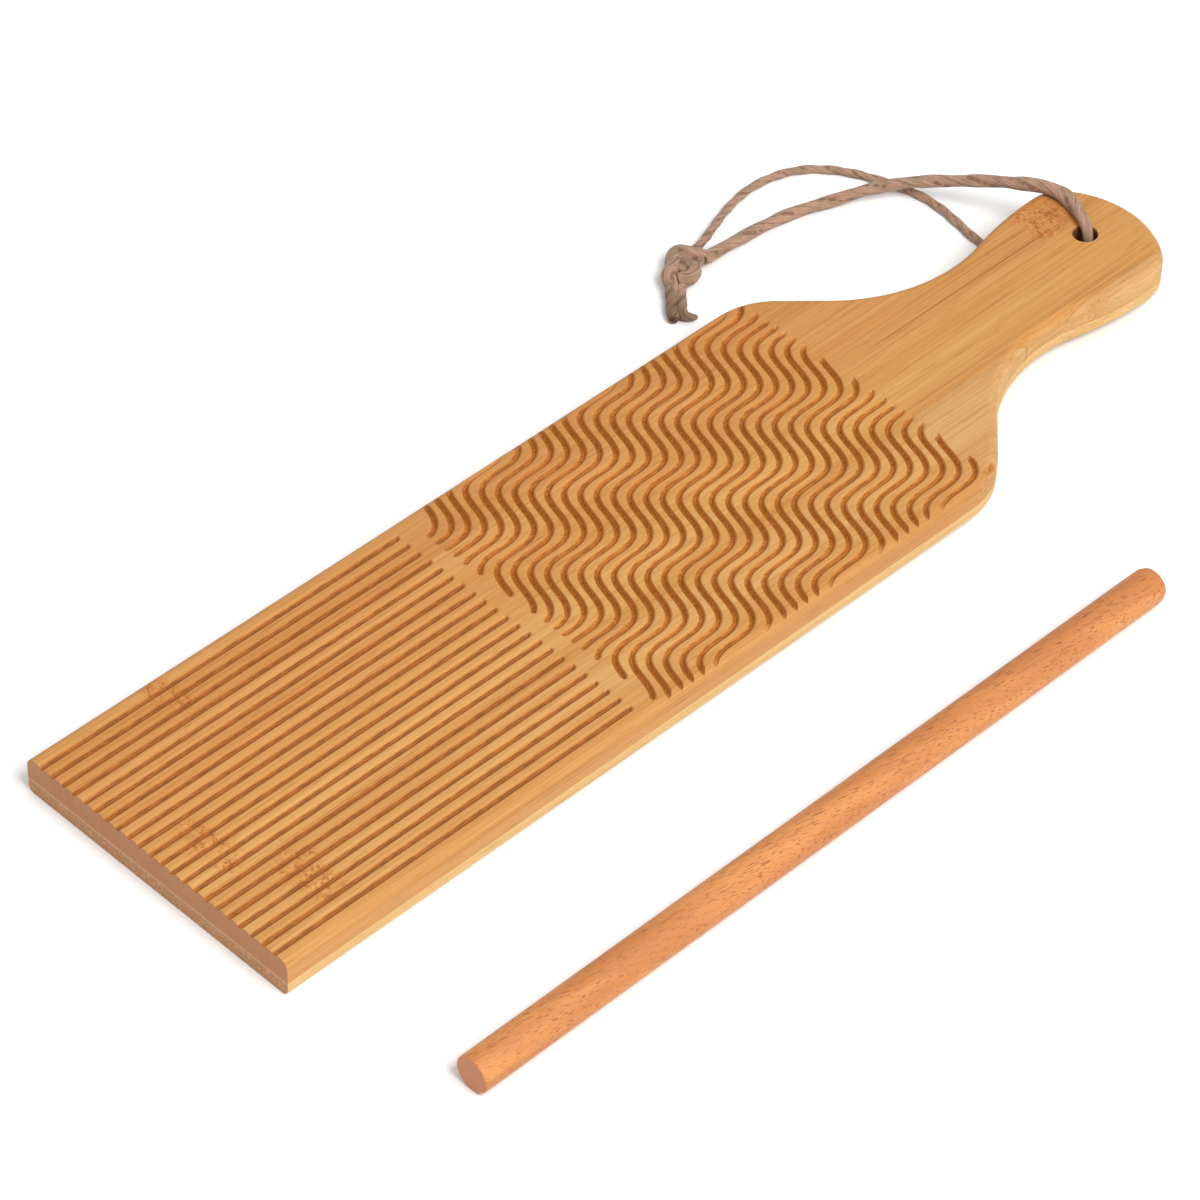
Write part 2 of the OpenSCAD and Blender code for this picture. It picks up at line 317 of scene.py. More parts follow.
def cane_nodes(g, color, marks):
    """Warm patches with light and dark dashes. Each has an X, a Y, their half sizes and a strength."""
    dashes = g.grain(1.0, 0.8, 3.0, 0.7, 0.5)
    clump = g.grain(0.35, 0.25, 1.0)
    for x, half_x, y, half_y, strength in marks:
        here = g.times(g.patch(x, half_x, y, half_y), strength, g.ramp(clump, 0.40, 0.56, 0.35, 1.0))
        color = g.mix(g.times(here, 0.5), color, NODE_WARM)
        color = g.mix(g.times(here, g.ramp(dashes, 0.46, 0.36, 0.0, 0.6)), color, NODE_LIGHT)
        color = g.mix(g.times(here, g.ramp(dashes, 0.52, 0.61, 0.0, 0.8)), color, NODE_DARK)
    return color


def glue_lines(g, color, seams):
    """Thin broken lines where a strip meets its neighbour."""
    for seam in seams:
        near = g.times(g.ramp(g.apart(g.y, seam), 0.14, 0.04),
                       g.ramp(g.grain(0.05, 0.05, 2.0), 0.40, 0.60))
        color = g.mix(g.times(near, 0.5), color, BAMBOO_LINE)
    return color


def pale_handle_lit_sides(g, color, pale):
    """Beyond the waves the upper ply's near strips are paler, and all its sides get painted light,
    lighter as if lit from the front.
    """
    # Painted light: the upper ply's sides on the handle are lightened as if a lamp lit them.
    wall = g.times(g.ramp(g.z, BOARD_T - 0.6, BOARD_T - TOP_ROUND),
                   g.ramp(g.x, HANDLE_FROM_X - 1, HANDLE_FROM_X + 1), g.ramp(g.z, PLY_T - 0.1, PLY_T))
    lift = g.times(g.ramp(g.x, HANDLE_FROM_X - 12, HANDLE_FROM_X + 4), pale)
    color = g.mix(g.math("MAXIMUM", lift, wall), color, PALE_AND_PAINTED_LIGHT, "MULTIPLY")
    return g.mix(wall, color, WALL_PAINTED_LIGHT, "MULTIPLY")


def cut_faces(g, color, front, speckle, flecks):
    """Wood cut across its fibres: the front end, groove walls that face along X and the hole's wall,
    which also gets painted shade below its lip.
    """
    across = g.math("ABSOLUTE", g.split(g.coords.outputs["Normal"])[0])
    pores = g.noise(g.vector("MULTIPLY", g.at, (1.6, 3.2, 3.2)), 2.0, 0.7)
    flat_end = g.times(g.ramp(across, 0.93, 0.99), g.ramp(g.x, 2.0, 1.0))
    cut = g.times(g.ramp(across, 0.30, 0.72), g.ramp(g.x, HANDLE_FROM_X + 1, HANDLE_FROM_X - 1))
    wall = g.mix(g.ramp(pores, 0.38, 0.66), WALL_BROWN, shade(WALL_BROWN, 0.68))
    face = g.mix(g.ramp(pores, 0.35, 0.7), front, shade(front, speckle))
    dots = g.ramp(g.grain(1.1, 1.3, 2.0, 0.7), 0.54, 0.62)
    seam = g.ramp(g.apart(g.z, PLY_T - 0.3), 0.4, 0.15)
    face = g.mix(g.times(g.math("MAXIMUM", dots, seam), flecks), face, FRONT_FLECK)
    color = g.mix(g.times(cut, 0.92), color, g.mix(flat_end, wall, face))
    dx, dy = g.minus(g.x, HOLE_X), g.minus(g.y, HOLE_Y)
    from_hole = g.math("SQRT", g.plus(g.times(dx, dx), g.times(dy, dy)))
    # Painted shade: the hole's wall darkens below the lip as if shaded down the bore, over the brown of
    # cut wood.
    bore_shade = g.times(g.ramp(from_hole, HOLE_R + 0.5, HOLE_R + 0.2),
                   g.ramp(g.z, BOARD_T - 0.2, BOARD_T - 1.2))
    color = g.mix(g.times(bore_shade, 0.85), color, BORE_BROWN_AND_SHADE)
    return color, flat_end, g.times(cut, pores)


def groove_colors(g, color, flat_end):
    """Golden flanks and a torn brown bottom in every groove, darker with depth: partly the brown of torn
    fibres, partly painted shade.
    """
    inside = g.times(g.ramp(g.math("ABSOLUTE", g.y), GROOVED_HALF_W + 0.5, GROOVED_HALF_W - 0.5),
                     g.ramp(g.x, HANDLE_FROM_X + 1, HANDLE_FROM_X - 1),
                     g.ramp(g.z, BOARD_T - 1.4, BOARD_T - 1.2), g.minus(1.0, flat_end))
    depth = g.minus(BOARD_T, g.z)
    color = g.mix(g.times(inside, g.ramp(depth, 0.0, 0.3)), color, GROOVE_GOLD, "MULTIPLY")
    torn = g.grain(0.3, 1.9, 2.0, 0.7)
    ragged = g.times(g.minus(torn, 0.5), g.ramp(g.x, BAND_X - 1.5, BAND_X + 1.5, 0.35, 0.8))
    brown = g.mix(g.ramp(torn, 0.44, 0.58), shade(GROOVE_BROWN_AND_SHADE, 1.1), shade(GROOVE_BROWN_AND_SHADE, 0.7))
    brown = g.mix(g.ramp(g.x, BAND_X + 1.5, BAND_X - 1.5), brown, STRAIGHT_SHADE, "MULTIPLY")
    # Painted shade: the groove bottoms darken with depth over the brown of torn fibres, and the straight
    # grooves darken more.
    bottom_brown_and_shade = g.ramp(g.plus(depth, ragged), 0.30, 0.62)
    return g.mix(g.times(bottom_brown_and_shade, inside, 0.9), color, brown)


def bamboo(name, seed, tint, marks=(), lines=(), seams=(), front=FRONT_UPPER, speckle=0.86,
           flecks=0.0, pale=0.0):
    """One pressed strip of bamboo. speckle and flecks darken and lighten its front end, and pale
    lightens its handle."""
    g = Wood(name, seed)
    color, tone, fibre, streak = clean_bamboo(g)
    color = dark_lines(g, color, lines, fibre)
    color = cane_nodes(g, color, marks)
    color = glue_lines(g, color, seams)
    color = g.mix(1.0, color, tint, "MULTIPLY")
    color = pale_handle_lit_sides(g, color, pale)
    color, flat_end, open_pores = cut_faces(g, color, front, speckle, flecks)
    color = groove_colors(g, color, flat_end)
    height = g.plus(g.times(fibre, 0.6), g.times(streak, 0.4))
    height = g.plus(height, g.times(open_pores, 2.5))
    return g.surface(color, g.ramp(tone, 0.5, 1.1, 0.45, 0.60), height, 0.04, Specular_IOR_Level=0.22)


BEECH_LIGHT = srgb(206, 137, 78)
BEECH_DARK = srgb(188, 119, 66)
BEECH_FLECK = srgb(142, 76, 34)
BEECH_END = srgb(184, 118, 88)
BEECH_SEED = 4.0
BEECH_SLANT = 0.17


def beech(name):
    """The fibres run a little off the dowel's axis, so the rays show as short slanting dashes."""
    g = Wood(name, BEECH_SEED)
    slant = g.node("ShaderNodeCombineXYZ", 0.0, g.times(g.x, BEECH_SLANT), 0.0).outputs[0]
    g.at = g.vector("ADD", g.at, slant)
    broad = g.grain(0.012, 0.16, 2.0)
    fibre = g.grain(0.06, 3.2, 3.0, 0.65)
    ray = g.ramp(g.grain(0.38, 4.4, 1.0, 0.35), 0.60, 0.66)
    ray = g.times(ray, g.ramp(g.grain(0.05, 0.25), 0.36, 0.52, 0.55, 1.0))
    color = g.mix(g.ramp(broad, 0.38, 0.62), BEECH_LIGHT, BEECH_DARK)
    color = g.mix(g.times(g.ramp(fibre, 0.42, 0.7), 0.55), color, BEECH_DARK)
    color = g.mix(g.times(ray, 0.8), color, BEECH_FLECK)
    end = g.ramp(g.math("ABSOLUTE", g.split(g.coords.outputs["Normal"])[0]), 0.75, 0.95)
    color = g.mix(end, color, g.mix(g.ramp(g.grain(2.0, 2.0), 0.3, 0.7), BEECH_END, BEECH_DARK))
    height = g.minus(g.times(fibre, 0.5), g.times(ray, 0.5))
    roughness = g.ramp(fibre, 0.3, 0.7, 0.42, 0.55)
    return g.surface(color, roughness, height, 0.04, Specular_IOR_Level=0.35)


JUTE_LIGHT = srgb(190, 160, 136)
JUTE_MID = srgb(164, 131, 110)
JUTE_OLIVE = srgb(142, 122, 98)
JUTE_ROSE = srgb(176, 134, 114)
JUTE_DARK_AND_SHADE = srgb(112, 82, 62)

# The tails darken by this factor between these two X
JUTE_END = (0.55, 0.50, 0.42)
TAIL_DARKENS = (212.0, 205.0)


def jute(name):
    """Twisted bast fibre. The mesh's map runs along each ply, so the fibres follow the twist."""
    g = Graph(name)
    coords = g.node("ShaderNodeTexCoord")
    lay = coords.outputs["UV"]
    at = g.vector("MULTIPLY", coords.outputs["Object"], (1 / MM,) * 3)
    fibre = g.noise(g.vector("MULTIPLY", lay, (0.22, 11.0, 1.0)), 3.0, 0.6)
    patch = g.noise(g.vector("MULTIPLY", at, (0.3,) * 3), 2.0)
    color = g.mix(g.ramp(patch, 0.42, 0.58), JUTE_OLIVE, JUTE_ROSE)
    color = g.mix(0.5, color, JUTE_MID)
    color = g.mix(g.times(g.ramp(fibre, 0.52, 0.36), 0.38), color, JUTE_DARK_AND_SHADE)
    color = g.mix(g.times(g.ramp(fibre, 0.50, 0.70), 0.6), color, JUTE_LIGHT)
    broken = g.noise(g.vector("MULTIPLY", at, (0.55,) * 3), 1.0)
    # Painted shade: dark lines along the creases where the two plies meet, broken by noise.
    crease_shade = g.ramp(g.apart(g.split(lay)[1], 1.0), 0.66, 0.52)
    color = g.mix(g.times(crease_shade, g.ramp(broken, 0.46, 0.58, 0.15, 0.75)), color, JUTE_DARK_AND_SHADE)
    color = g.mix(g.ramp(g.split(at)[0], *TAIL_DARKENS, 0.0, 0.85), color, JUTE_END, "MULTIPLY")
    return g.surface(color, 0.9, fibre, 0.14, Specular_IOR_Level=0.15, Sheen_Weight=0.15)


# Mesh helpers


def new_object(name, verts, faces, matrix=ROW_FROM_BOARD):
    """An object from points in millimetres."""
    mesh = bpy.data.meshes.new(name)
    mesh.from_pydata([tuple(float(c) * MM for c in v) for v in verts], [], faces)
    mesh.update()
    made = bpy.data.objects.new(name, mesh)
    made.matrix_world = matrix
    bpy.context.scene.collection.objects.link(made)
    return made


def closed_stack(rings):
    """Points and faces of a solid through a list of rings with the same number of points."""
    n = len(rings[0])
    faces = [list(range(n))[::-1]]
    for i in range(len(rings) - 1):
        for k in range(n):
            a, b = i * n + k, i * n + (k + 1) % n
            faces.append([a, b, b + n, a + n])
    faces.append([(len(rings) - 1) * n + k for k in range(n)])
    return [p for r in rings for p in r], faces


def carpet(name, x, y, z, lid):
    """A closed solid between a grid of groove depths below and a flat lid above."""
    rows, cols = x.shape
    low = np.stack([x, y, z], 2).reshape(-1, 3)
    high = np.stack([x, y, np.full_like(z, lid)], 2).reshape(-1, 3)
    idx = np.arange(rows * cols).reshape(rows, cols)
    top = idx + rows * cols
    quads = np.stack([idx[:-1, :-1], idx[1:, :-1], idx[1:, 1:], idx[:-1, 1:]], 2).reshape(-1, 4)
    lids = np.stack([top[:-1, :-1], top[:-1, 1:], top[1:, 1:], top[1:, :-1]], 2).reshape(-1, 4)
    rim = np.concatenate([idx[:, 0], idx[-1, 1:], idx[::-1, -1][1:], idx[0, ::-1][1:]])
    rim_top = rim + rows * cols
    walls = np.stack([rim[1:], rim[:-1], rim_top[:-1], rim_top[1:]], 1)
    made = new_object(name, np.concatenate([low, high]), np.concatenate([quads, lids, walls]).tolist())
    fix_normals(made)
    return made


def fix_normals(obj):
    bm = bmesh.new()
    bm.from_mesh(obj.data)
    bmesh.ops.recalc_face_normals(bm, faces=bm.faces)
    bm.to_mesh(obj.data)
    bm.free()


def cut(obj, tool, operation):
    mod = obj.modifiers.new("cut", "BOOLEAN")
    mod.operation = operation
    mod.object = tool
    mod.solver = "MANIFOLD"


def settle(obj):
    """Turns the object's modifiers into its mesh."""
    bpy.context.view_layer.update()
    graph = bpy.context.evaluated_depsgraph_get()
    mesh = bpy.data.meshes.new_from_object(obj.evaluated_get(graph))
    obj.modifiers.clear()
    old = obj.data
    obj.data = mesh
    bpy.data.meshes.remove(old)


SHARP = math.radians(32)


def finish_surface(obj):
    """Smooth shading, with true edges kept and large flat faces left flat."""
    bm = bmesh.new()
    bm.from_mesh(obj.data)
    bmesh.ops.remove_doubles(bm, verts=bm.verts, dist=0.002 * MM)
    for f in bm.faces:
        f.smooth = True
    for e in bm.edges:
        if len(e.link_faces) == 2:
            e.smooth = e.calc_face_angle() < SHARP
    bm.to_mesh(obj.data)
    bm.free()
    weigh = obj.modifiers.new("normals", "WEIGHTED_NORMAL")
    weigh.keep_sharp = True
    weigh.weight = 60


def wear(obj, material):
    obj.data.materials.clear()
    obj.data.materials.append(material)


# Shape of the board


def side_arcs(half_w):
    """Centre, radius, start and end angle of each arc along one side."""
    grip_x = BOARD_L - GRIP_BACK
    flare = 2 * math.atan((GRIP_W - NECK_W) / 2 / (grip_x - NECK_X))
    grip_r = (grip_x - NECK_X) / math.sin(flare) - NECK_R
    grip_h = GRIP_W / 2 - TIP_R
    end_r = (GRIP_BACK ** 2 + grip_h ** 2 - TIP_R ** 2) / (2 * (GRIP_BACK - TIP_R))
    end_x = BOARD_L - end_r
    corner = math.atan2(grip_h, grip_x - end_x)
    rise = (NECK_W / 2 + NECK_R - half_w + SHOULDER_R) * math.cos(SLOPE)
    shoulder_x = NECK_X - (SHOULDER_R + NECK_R - rise) / math.sin(SLOPE)
    quarter = math.pi / 2
    return [
        ((shoulder_x, half_w - SHOULDER_R), SHOULDER_R, quarter, quarter - SLOPE),
        ((NECK_X, NECK_W / 2 + NECK_R), NECK_R, 3 * quarter - SLOPE, 3 * quarter + flare),
        ((grip_x, GRIP_W / 2 - grip_r), grip_r, quarter + flare, quarter),
        ((grip_x, grip_h), TIP_R, quarter, corner),
        ((end_x, 0.0), end_r, corner, 0.0),
    ]


ARC_STEP = 1.2
FRONT_SPARE = 1.0


def side(half_w):
    """Points along one side, each with its outward direction. They start a little before the front
    end, which make_strip cuts square."""
    out = [(-FRONT_SPARE, half_w, 0.0, 1.0)]
    for j, ((cx, cy), r, a0, a1) in enumerate(side_arcs(half_w)):
        way = -1 if a1 > a0 else 1
        steps = max(3, math.ceil(abs(a1 - a0) * r / ARC_STEP))
        for k in range(0 if j < 2 else 1, steps + 1):
            a = a0 + (a1 - a0) * k / steps
            c, n = math.cos(a), math.sin(a)
            out.append((cx + r * c, cy + r * n, way * c, way * n))
    return np.array(out)


def ply_levels(z0, z1, low_r, top_r, steps=7):
    """Height and inset of the outline through a ply with rounded edges."""
    quarter = [math.pi / 2 * k / steps for k in range(steps + 1)]
    low = [(z0 + low_r * (1 - math.sin(a)), low_r * (1 - math.cos(a))) for a in quarter[::-1]]
    top = [(z1 - top_r * (1 - math.sin(a)), top_r * (1 - math.cos(a))) for a in quarter]
    return (low if low_r else [(z0, 0.0)]) + (top if top_r else [(z1, 0.0)])


def make_ply(name, levels):
    """A whole ply, its outline drawn in by the inset of each level."""
    far = side(BOARD_W / 2 - HANDLE_OFF)
    near = side(BOARD_W / 2 + HANDLE_OFF)
    n = min(len(far), len(near))
    far, near = resample(far, n), resample(near, n)
    far[:, 1] += HANDLE_OFF
    near[:, 1] = HANDLE_OFF - near[:, 1]
    near[:, 3] *= -1
    ring = np.concatenate([far, near[-2::-1]])
    size = len(ring)
    verts = [(p[0] - inset * p[2], p[1] - inset * p[3], z) for z, inset in levels for p in ring]
    faces = []
    for i in range(len(levels) - 1):
        for k in range(size):
            a, b = i * size + k, i * size + (k + 1) % size
            faces.append([a, a + size, b + size, b])
    for base, up in ((0, False), ((len(levels) - 1) * size, True)):
        for k in range(n - 1):
            quad = [base + k, base + k + 1, base + size - 2 - k, base + size - 1 - k]
            if k == n - 2:
                quad = [base + k, base + k + 1, base + size - 1 - k]
            faces.append(quad[::-1] if up else quad)
    made = new_object(name, verts, faces)
    fix_normals(made)
    return made


def resample(points, n):
    """The same line with n points, so that both sides of the board pair up."""
    at = np.linspace(0, len(points) - 1, n)
    return np.stack([np.interp(at, range(len(points)), points[:, c]) for c in range(4)], 1)


# Relief of the grooves

CLEAR = 0.02
STRAIGHT_HALF = 0.85
WAVE_HALF = 0.77
GROOVE_EASE = 0.2
GROOVE_FLOOR = 0.12
ACROSS = (0.0, 0.02, 0.05, 0.09, 0.14, 0.19, 0.24, 0.28, 0.32, 0.37, 0.43)
LID_Z = BOARD_T + 3
STRAIGHT_ROWS = (-2.0, 20.0, 40.0, 60.0, 80.0, GROOVE_END_X - 0.6)
WAVE_ROWS = (54.0, 198.0, 0.7)
HOLE_SIDES = 48
BOX_SPARE = 5.0


def groove_z(distance, half):
    """Height of the wood at a distance from the nearest groove's centreline: a V with eased edges."""
    soft = np.sqrt(distance ** 2 + GROOVE_FLOOR ** 2) - GROOVE_FLOOR
    q = 1 - soft / half
    part = (q + np.sqrt(q ** 2 + GROOVE_EASE ** 2)) / (1 + math.sqrt(1 + GROOVE_EASE ** 2))
    part = np.clip(part - 0.006, 0, 1)
    return BOARD_T + CLEAR - (GROOVE_DEPTH + CLEAR) * part


def cross_stations(first, last):
    """Places across a family of grooves, closer together at each groove's bottom."""
    out = []
    for i in range(first, last + 1):
        out += [i - a for a in ACROSS[:0:-1]] + [i + a for a in ACROSS] + [i + 0.5]
    return np.array([first - 0.5] + out)


def straight_carpet():
    """Cutter for the straight grooves."""
    u = cross_stations(0, GROOVE_COUNT - 1)
    end = GROOVE_END_X + np.arange(0, 2.6, 0.25)
    xs = np.concatenate([STRAIGHT_ROWS, end])
    x, uu = np.meshgrid(xs, u, indexing="ij")
    y = (uu - (GROOVE_COUNT - 1) / 2) * GROOVE_PITCH - GROOVE_SHIFT
    side_off = np.abs(uu - np.clip(np.round(uu), 0, GROOVE_COUNT - 1)) * GROOVE_PITCH
    past = np.clip(x - GROOVE_END_X, 0, None)
    z = groove_z(np.hypot(side_off, past), STRAIGHT_HALF)
    return carpet("straight_carpet", x, y, z, LID_Z)


def wave_xy(i, s):
    """Place on the board at distance s along wave i."""
    v = WAVE_OFFSET - WAVE_PITCH * i + WAVE_RISE / 2 * np.sin(
        2 * math.pi * (s - WAVE_PHASE - WAVE_SLIDE * i) / WAVE_LENGTH)
    c, n = math.cos(WAVE_ANGLE), math.sin(WAVE_ANGLE)
    return s * c - v * n, s * n + v * c


def s_at_x(i, x):
    """Distance along wave i at which it reaches x, found by halving."""
    lo, hi = np.zeros_like(i, dtype=float), np.full_like(i, 300.0, dtype=float)
    for _ in range(30):
        mid = (lo + hi) / 2
        before = wave_xy(i, mid)[0] < x
        lo, hi = np.where(before, mid, lo), np.where(before, hi, mid)
    return lo


def wave_carpet():
    """Cutter for the waves. Its rows run far enough to cross the whole board."""
    u = cross_stations(WAVE_FIRST - 1, WAVE_LAST + 1)
    s = np.arange(*WAVE_ROWS)
    ss, uu = np.meshgrid(s, u, indexing="ij")
    x, y = wave_xy(uu, ss)
    i = np.clip(np.round(uu), WAVE_FIRST, WAVE_LAST)
    slope = math.pi * WAVE_RISE / WAVE_LENGTH * np.cos(
        2 * math.pi * (ss - WAVE_PHASE - WAVE_SLIDE * i) / WAVE_LENGTH)
    apart = (WAVE_PITCH + WAVE_SLIDE * slope) / np.sqrt(1 + slope ** 2)
    distance = np.abs(uu - i) * apart
    for bound, sign in ((WAVE_START_X, -1), (WAVE_END_X, 1)):
        at = s_at_x(i, bound)
        ex, ey = wave_xy(i, at)
        beyond = sign * (ss - at) > 0
        distance = np.where(beyond, np.hypot(x - ex, y - ey), distance)
    return carpet("wave_carpet", x, y, groove_z(distance, WAVE_HALF), LID_Z)


def hole_tool():
    """A lathed cutter with a small rounded lip at both faces."""
    zs = [(-2.0, HOLE_R + HOLE_LIP + 0.5), (-CLEAR, HOLE_R + HOLE_LIP)]
    for k in range(1, 5):
        a = math.pi / 2 * k / 4
        zs.append((HOLE_LIP * math.sin(a), HOLE_R + HOLE_LIP * (1 - math.sin(a)) ** 1.5))
    zs = zs + [(BOARD_T - z, r) for z, r in zs[::-1]]
    turns = [2 * math.pi * k / HOLE_SIDES for k in range(HOLE_SIDES)]
    rings = [[(HOLE_X + r * math.cos(a), HOLE_Y + r * math.sin(a), z) for a in turns] for z, r in zs]
    made = new_object("hole_tool", *closed_stack(rings))
    fix_normals(made)
    return made


def box_tool(name, x0, x1, y0, y1):
    """A block through both plies."""
    rings = [[(x0, y0, z), (x1, y0, z), (x1, y1, z), (x0, y1, z)]
             for z in (-BOX_SPARE, BOARD_T + BOX_SPARE)]
    made = new_object(name, *closed_stack(rings))
    fix_normals(made)
    return made


def make_strip(name, ply, y0, y1, x0, x1, tools, material):
    """The part of a ply between two X and two Y, less its tools."""
    made = bpy.data.objects.new(name, ply.data.copy())
    made.matrix_world = ROW_FROM_BOARD
    bpy.context.scene.collection.objects.link(made)
    slab = box_tool(name + "_slab", x0, x1, y0, y1)
    cut(made, slab, "INTERSECT")
    for tool in tools:
        cut(made, tool, "DIFFERENCE")
    settle(made)
    bpy.data.objects.remove(slab)
    finish_surface(made)
    wear(made, material)
    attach(made, "board")
    return made


TOP_EDGES = (-BOARD_W / 2 - PAST, *TOP_SEAMS, BOARD_W / 2 + PAST)
LOW_EDGES = (-BOARD_W / 2 - PAST, *LOW_SEAMS, BOARD_W / 2 + PAST)
FAR_X = BOARD_L + PAST
NODE_MARK = 0.95
CENTRE_LINES = ((-12, 0.9, 0.3, 205, 290), (-2.5, 0.3, 0.35, 205, 300))
FAR_MID_LINES = (
    (7.8, 0.4, 0.5, 215, 290), (10.5, 0.25, 0.35, 220, 280), (12, 0.35, 0.35, 230, 278),
)
LOW_KEYS = ("near", "near_mid", "far_mid", "far")
LOW_SEED = 8.0
LOW_TINT = (1.2, 1.58, 2.2)


def top_strips(grooves, hole):
    """Name, edges in Y and X, tools and material of each strip of the upper ply."""
    e = TOP_EDGES
    return [
        ("near", e[0], e[1], 0, FAR_X, grooves,
         bamboo("bamboo_near", 1.0, (1.0, 1.0, 1.02), seams=(e[1],), pale=1.0)),
        ("near_mid", e[1], e[2], 0, NECK_X, grooves,
         bamboo("bamboo_near_mid", 2.0, (1.0, 1.02, 1.05), seams=(e[1], e[2]), pale=1.0,
                marks=((20, 5, -25, 9.5, NODE_MARK),))),
        ("centre", e[2], e[3], 0, FAR_X, grooves + [hole],
         bamboo("bamboo_centre", 3.0, (1.01, 1.02, 1.0), seams=(e[2], e[3]),
                marks=((9, 4.5, -5, 9.5, NODE_MARK),), lines=CENTRE_LINES)),
        # The far strips' darker tints are partly their own tone and partly painted shade, as the light
        # falls off towards the far side.
        ("far_mid", e[3], e[4], 0, FAR_X, grooves,
         bamboo("bamboo_far_mid", 4.0, (0.97, 0.92, 0.88), seams=(e[3], e[4]),
                marks=((281, 6.5, 12, 7, 1.0),), lines=FAR_MID_LINES)),
        ("far", e[4], e[5], 0, FAR_X, grooves,
         bamboo("bamboo_far", 5.0, (0.93, 0.86, 0.82), seams=(e[4],),
                marks=((33, 4, 33, 6, NODE_MARK),))),
        ("handle_edge", e[1], e[2], NECK_X, FAR_X, [],
         bamboo("bamboo_handle_edge", 2.0, (1.0, 1.02, 1.05), seams=(e[1], e[2]), pale=1.0,
                marks=((266, 8, -16, 5, 0.25),))),
    ]


def make_board():
    upper = make_ply("upper_ply", ply_levels(PLY_T, BOARD_T, 0, TOP_ROUND))
    lower = make_ply("lower_ply", ply_levels(0, PLY_T, LOW_ROUND, 0))
    straight, waves, hole = straight_carpet(), wave_carpet(), hole_tool()
    for key, y0, y1, x0, x1, tools, material in top_strips([straight, waves], hole):
        piece = make_strip("upper_" + key, upper, y0, y1, x0, x1, tools, material)
        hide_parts("top_strip_" + key)
    for k, key in enumerate(LOW_KEYS):
        y0, y1 = LOW_EDGES[k:k + 2]
        material = bamboo("bamboo_low_" + key, LOW_SEED + k, LOW_TINT, front=FRONT_LOWER,
                          speckle=0.76, flecks=0.5)
        tools = [hole] if y0 < HOLE_Y + HOLE_R and y1 > HOLE_Y - HOLE_R else []
        piece = make_strip("lower_" + key, lower, y0, y1, 0, FAR_X, tools, material)
        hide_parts("bottom_strip_" + key)
    for tool in (upper, lower, straight, waves, hole):
        bpy.data.objects.remove(tool)


# Twine

IN_HOLE = (285.8, 0.5, 7.2)
UNDER_ROUTE = (
    IN_HOLE, (285.8, 0.5, 5.5), (285.6, 0.9, 3.2), (285, 2, 1.4), (283.7, 4, 1.05),
    (281, 7.6, 1.05), (278.7, 10.6, 1.05), (276.8, 13.5, 1.05), (275.8, 17, 1.05),
    (275.8, 20.5, 1.05),
)
FAR_ROUTE = (
    (275.8, 20.5, 1.05), (275.8, 25.5, 1.05), (276.9, 31.5, 1.05), (278, 38, 1.05),
    (278.1, 44.5, 1.05), (276.9, 50.5, 1.05), (275, 56, 1.05), (272.7, 61.3, 1.05),
    (269.4, 66.4, 1.05), (264.7, 70.8, 1.05), (258.3, 73.6, 1.05), (250, 74.4, 1.1),
    (241, 72.6, 1.3), (233, 69.6, 1.8), (227, 67.3, 2.2), (222.6, 66.3, 2.4),
)
NEAR_ROUTE = (
    IN_HOLE, (285.8, 0.5, 9.2), (286, 1, 11.4), (286.6, 2.3, 13.3), (287.8, 5, 13.9),
    (289.6, 9.2, 14), (290.3, 13.3, 14), (289.4, 17.2, 14), (287.8, 21, 13.5), (286.4, 25, 12.4),
    (284.2, 31.3, 10.4), (281.3, 38, 8), (277.6, 44.5, 6), (273.3, 49.4, 4.6), (268, 53.6, 3.3),
    (262.3, 56.8, 2), (256.5, 59.2, 1.6), (249.5, 61.2, 1.55), (242, 62.3, 1.55), (235, 62.7, 1.7),
    (228.5, 62.7, 2.1), (222.6, 62.6, 2.6),
)
KNOT_ROUTE = (
    (225.5, 62.7, 2.4), (222, 64, 3.3), (220.1, 65.7, 3.8), (218.9, 67.4, 3.6), (217, 66.9, 3),
    (214.6, 64.9, 2.7), (212.3, 63.5, 2.9), (211, 61.6, 2.6), (209.8, 59.2, 2.3), (208.4, 57.4, 2.1),
)
KNOT_TUCK = (
    (224.5, 62.6, 2.3), (221.6, 63.5, 2.1), (219.2, 65, 1.9), (217.4, 64.6, 1.9), (218.3, 62.6, 2.5),
    (217.8, 60.7, 2.9), (216.2, 60.1, 2.6), (214.8, 60.9, 2), (213.6, 61.7, 1.7),
)
KNOT_R = 1.95
TAIL_LEFT = (
    (210.8, 61.1, 2.3), (208.4, 58.7, 2), (206.7, 57, 1.7), (205, 55, 1.6), (203.4, 52.9, 1.6),
)
TAIL_RIGHT = (
    (212, 59.4, 2.2), (209.9, 57.3, 2), (208.2, 55.6, 1.7), (206.8, 54, 1.6), (206.2, 52.4, 1.5),
    (207.1, 51.2, 1.2), (208.5, 50.6, 0.8),
)
TAIL_R = 1.55
HOOK_R = 0.55

# Radius of each piece of twine: parts of the way along it, and the radius there
FAR_RADII = ((0, 1), (TWINE_D / 2, TWINE_D / 2))
NEAR_RADII = ((0, 0.05, 0.12, 0.19, 0.28, 1), (1.05, 1.3, 1.85, 1.8, 1.55, 1.5))
KNOT_RADII = ((0, 0.2, 0.7, 1), (1.1, KNOT_R, KNOT_R, 1.2))
TUCK_RADII = ((0, 0.3), (1.1, KNOT_R))
TAIL_RADII = ((0, 0.94, 1), (TAIL_R, TAIL_R, 0.8 * TAIL_R))
HOOK_RADII = ((0, 0.72, 1), (TAIL_R, TAIL_R, HOOK_R))

# How the plies lie: length of one turn, and a ply's share of the twine's radius
TIGHT_LAY = 12.0
LOOSE_LAY = 24.0
TIGHT_FULL = 0.84
LOOSE_FULL = 0.88
PLIES = 2
PLY_SIDES = 20
TWINE_STEP = 0.45


